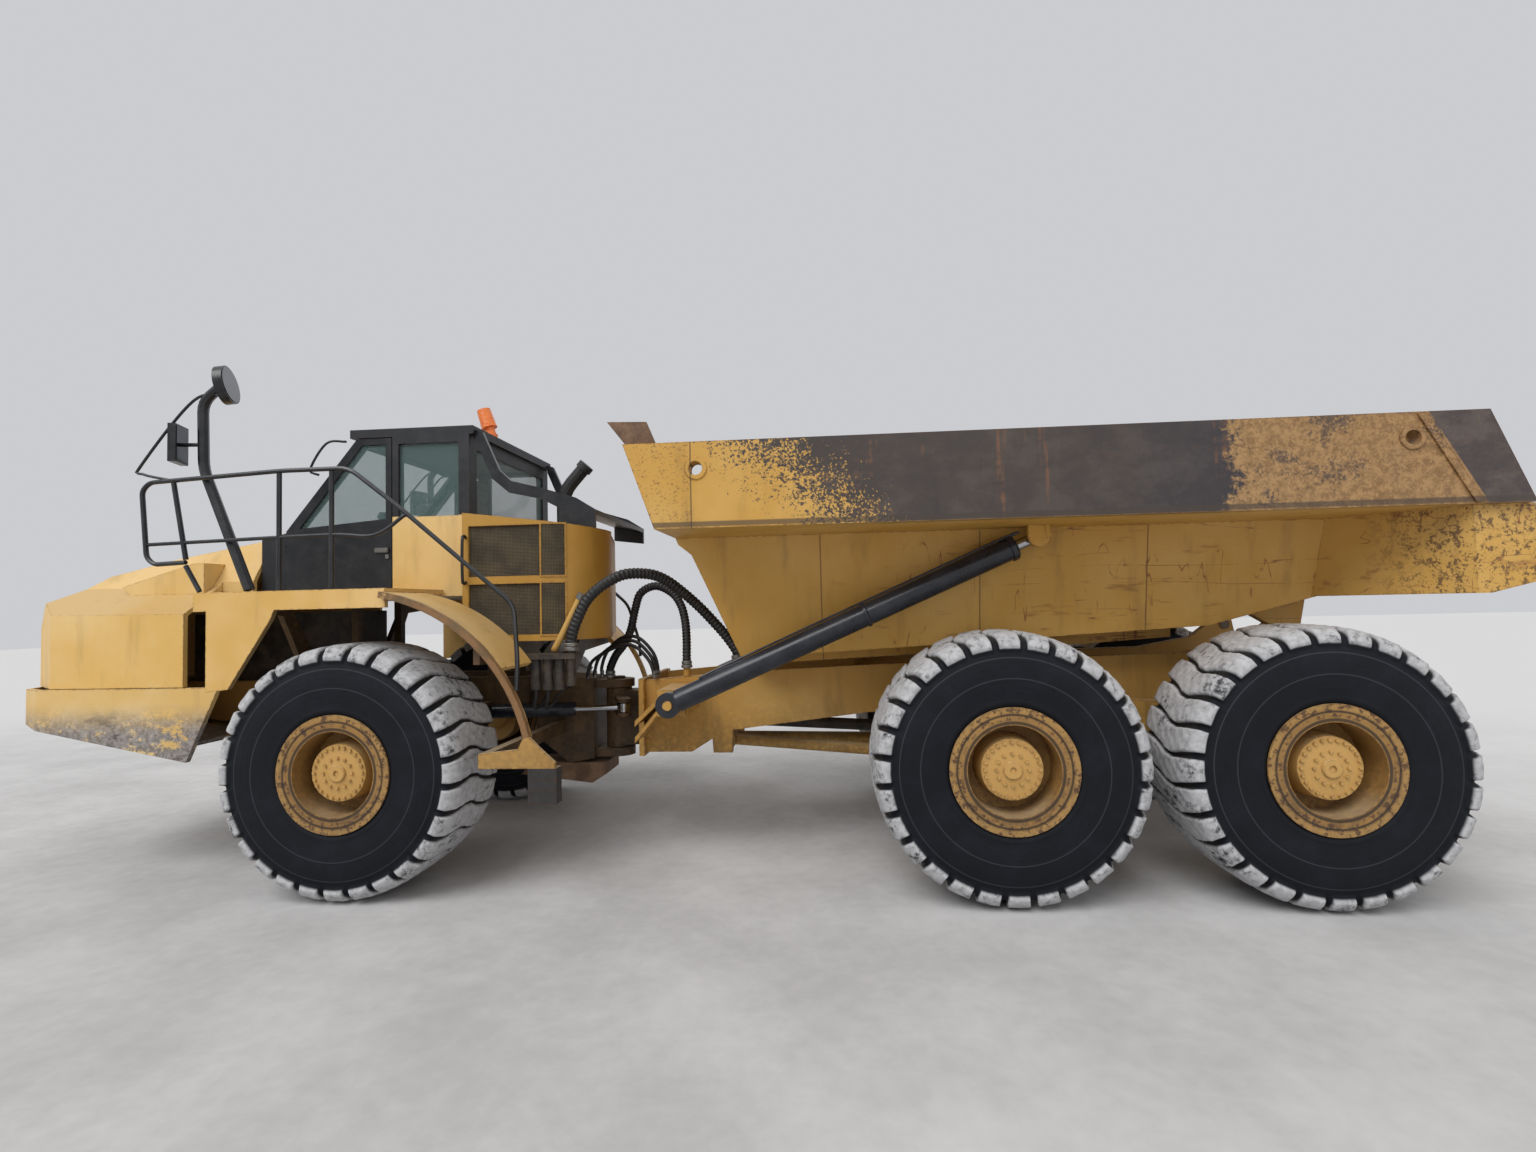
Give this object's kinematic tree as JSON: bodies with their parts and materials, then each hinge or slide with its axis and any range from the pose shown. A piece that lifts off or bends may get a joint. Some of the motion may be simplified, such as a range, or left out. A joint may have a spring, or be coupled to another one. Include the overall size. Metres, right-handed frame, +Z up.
{
  "type": "articulated dump truck",
  "caption": "Articulated dump truck: cab and hood on a front axle, steering hitch, rear frame on a two-axle bogie, tipping bed with spill guard, hinged hood and cab door.",
  "frame": {"origin": "on the ground, centred under the truck's length and width", "axes": "+X towards the rear, front towards -X; +Y towards the truck's right side; +Z up"},
  "size_m": [11.076, 3.431, 3.883],
  "materials": {
    "frame_yellow": "worn satin, dirty",
    "panel_yellow": "faded satin",
    "bed_paint": "worn to bare steel and rust along the top band",
    "black_paint": "satin",
    "tyre": "dull, lugs worn pale",
    "wheel_yellow": "dusty",
    "glass": "clear, slight green",
    "interior": "matt",
    "mesh": "dusty",
    "amber": "gloss",
    "cast": "oily and rusty",
    "rod": "polished",
    "hose": "corrugated",
    "brown_steel": "rusty",
    "lamp": "clear"
  },
  "bodies": {
    "front_body": {"front_frame": "frame_yellow", "bumper": "panel_yellow", "engine_block": "cast", "front_axle": "wheel_yellow", "fenders": "panel_yellow", "cab_shell": "black_paint", "cab_glass": "glass", "cab_interior": "interior", "cooling_enclosure": "panel_yellow", "cooling_screens": "mesh", "rear_cowl": "black_paint", "handrails": "black_paint", "mirrors": "black_paint", "beacon": "amber", "intake_pipe": "interior", "steps": "frame_yellow", "valve_bank": "cast", "sump_guard": "brown_steel", "headlamps": "lamp"},
    "hood": {"hood": "panel_yellow"},
    "cab_door": {"door": "black_paint", "door_glass": "glass"},
    "wheel_front_left": {"tyre_front_left": "tyre", "rim_front_left": "wheel_yellow"},
    "wheel_front_right": {"tyre_front_right": "tyre", "rim_front_right": "wheel_yellow"},
    "wheel_middle_left": {"tyre_middle_left": "tyre", "rim_middle_left": "wheel_yellow"},
    "wheel_middle_right": {"tyre_middle_right": "tyre", "rim_middle_right": "wheel_yellow"},
    "wheel_rear_left": {"tyre_rear_left": "tyre", "rim_rear_left": "wheel_yellow"},
    "wheel_rear_right": {"tyre_rear_right": "tyre", "rim_rear_right": "wheel_yellow"},
    "hitch": {"hitch": "frame_yellow", "hose_large": "hose", "hose_small": "hose"},
    "rear_body": {"rear_frame": "frame_yellow", "walking_beams": "frame_yellow", "rear_axles": "wheel_yellow", "drive_shaft": "cast", "suspension_links": "frame_yellow"},
    "bed": {"bed": "bed_paint", "spill_guard": "brown_steel"},
    "steer_barrel_left": {"steer_barrel_left": "black_paint"},
    "steer_rod_left": {"steer_rod_left": "rod"},
    "steer_barrel_right": {"steer_barrel_right": "black_paint"},
    "steer_rod_right": {"steer_rod_right": "rod"},
    "hoist_barrel_left": {"hoist_barrel_left": "black_paint"},
    "hoist_rod_left": {"hoist_rod_left": "rod"},
    "hoist_barrel_right": {"hoist_barrel_right": "black_paint"},
    "hoist_rod_right": {"hoist_rod_right": "rod"}
  },
  "joints": [
    {"name": "steering", "type": "hinge", "parent": "front_body", "child": "hitch", "pos_m": [-0.838, 0, 1.04], "axis": [0, 0, 1], "range_deg": [-45, 45], "deforming": ["hose_large", "hose_small"]},
    {"name": "hitch_roll", "type": "hinge", "parent": "hitch", "child": "rear_body", "pos_m": [-0.528, 0, 1.04], "axis": [-1, 0, 0], "range_deg": [-15, 15]},
    {"name": "bed_tilt", "type": "hinge", "parent": "rear_body", "child": "bed", "pos_m": [4.662, 0, 1.75], "axis": [0, 1, 0], "range_deg": [0, 70]},
    {"name": "hood_tilt", "type": "hinge", "parent": "front_body", "child": "hood", "pos_m": [-5.518, 0, 1.5], "axis": [0, -1, 0], "range_deg": [0, 60]},
    {"name": "door_swing", "type": "hinge", "parent": "front_body", "child": "cab_door", "pos_m": [-3.426, -0.822, 2.6], "axis": [0, 0, -1], "range_deg": [0, 48]},
    {"name": "spin_front_left", "type": "hinge", "parent": "front_body", "child": "wheel_front_left", "pos_m": [-2.388, -1.3435, 0.905], "axis": [0, 1, 0], "continuous": true},
    {"name": "spin_front_right", "type": "hinge", "parent": "front_body", "child": "wheel_front_right", "pos_m": [-2.388, 1.3435, 0.905], "axis": [0, 1, 0], "continuous": true},
    {"name": "spin_middle_left", "type": "hinge", "parent": "rear_body", "child": "wheel_middle_left", "pos_m": [2.252, -1.3435, 0.905], "axis": [0, 1, 0], "continuous": true},
    {"name": "spin_middle_right", "type": "hinge", "parent": "rear_body", "child": "wheel_middle_right", "pos_m": [2.252, 1.3435, 0.905], "axis": [0, 1, 0], "continuous": true},
    {"name": "spin_rear_left", "type": "hinge", "parent": "rear_body", "child": "wheel_rear_left", "pos_m": [4.218, -1.3435, 0.905], "axis": [0, 1, 0], "continuous": true},
    {"name": "spin_rear_right", "type": "hinge", "parent": "rear_body", "child": "wheel_rear_right", "pos_m": [4.218, 1.3435, 0.905], "axis": [0, 1, 0], "continuous": true},
    {"name": "steer_barrel_left", "type": "hinge", "parent": "front_body", "child": "steer_barrel_left", "pos_m": [-1.888, -0.5, 1.16], "axis": [0, 0, 1], "range_deg": [-10, 10]},
    {"name": "steer_slide_left", "type": "slide", "parent": "steer_barrel_left", "child": "steer_rod_left", "axis": [0.9873, 0.159, 0], "range_m": [-0.3, 0.3]},
    {"name": "hoist_barrel_left", "type": "hinge", "parent": "rear_body", "child": "hoist_barrel_left", "pos_m": [-0.138, -1.1, 1.28], "axis": [0, -1, 0], "range_deg": [0, 7]},
    {"name": "hoist_slide_left", "type": "slide", "parent": "hoist_barrel_left", "child": "hoist_rod_left", "axis": [0.9178, 0, 0.3971], "range_m": [0, 2.5]},
    {"name": "steer_barrel_right", "type": "hinge", "parent": "front_body", "child": "steer_barrel_right", "pos_m": [-1.888, 0.5, 1.16], "axis": [0, 0, 1], "range_deg": [-10, 10]},
    {"name": "steer_slide_right", "type": "slide", "parent": "steer_barrel_right", "child": "steer_rod_right", "axis": [0.9873, -0.159, 0], "range_m": [-0.3, 0.3]},
    {"name": "hoist_barrel_right", "type": "hinge", "parent": "rear_body", "child": "hoist_barrel_right", "pos_m": [-0.138, 1.1, 1.28], "axis": [0, -1, 0], "range_deg": [0, 7]},
    {"name": "hoist_slide_right", "type": "slide", "parent": "hoist_barrel_right", "child": "hoist_rod_right", "axis": [0.9178, 0, 0.3971], "range_m": [0, 2.5]}
  ],
  "couplings": [
    {"joint": "steer_barrel_left", "follows": "steering", "ratio": 0.0509},
    {"joint": "steer_slide_left", "follows": "steering", "m_per_rad": 0.3097},
    {"joint": "hoist_barrel_left", "follows": "bed_tilt", "ratio": 0.0794},
    {"joint": "hoist_slide_left", "follows": "bed_tilt", "m_per_rad": 2.0147},
    {"joint": "steer_barrel_right", "follows": "steering", "ratio": 0.0509},
    {"joint": "steer_slide_right", "follows": "steering", "m_per_rad": -0.3097},
    {"joint": "hoist_barrel_right", "follows": "bed_tilt", "ratio": 0.0794},
    {"joint": "hoist_slide_right", "follows": "bed_tilt", "m_per_rad": 2.0147}
  ]
}
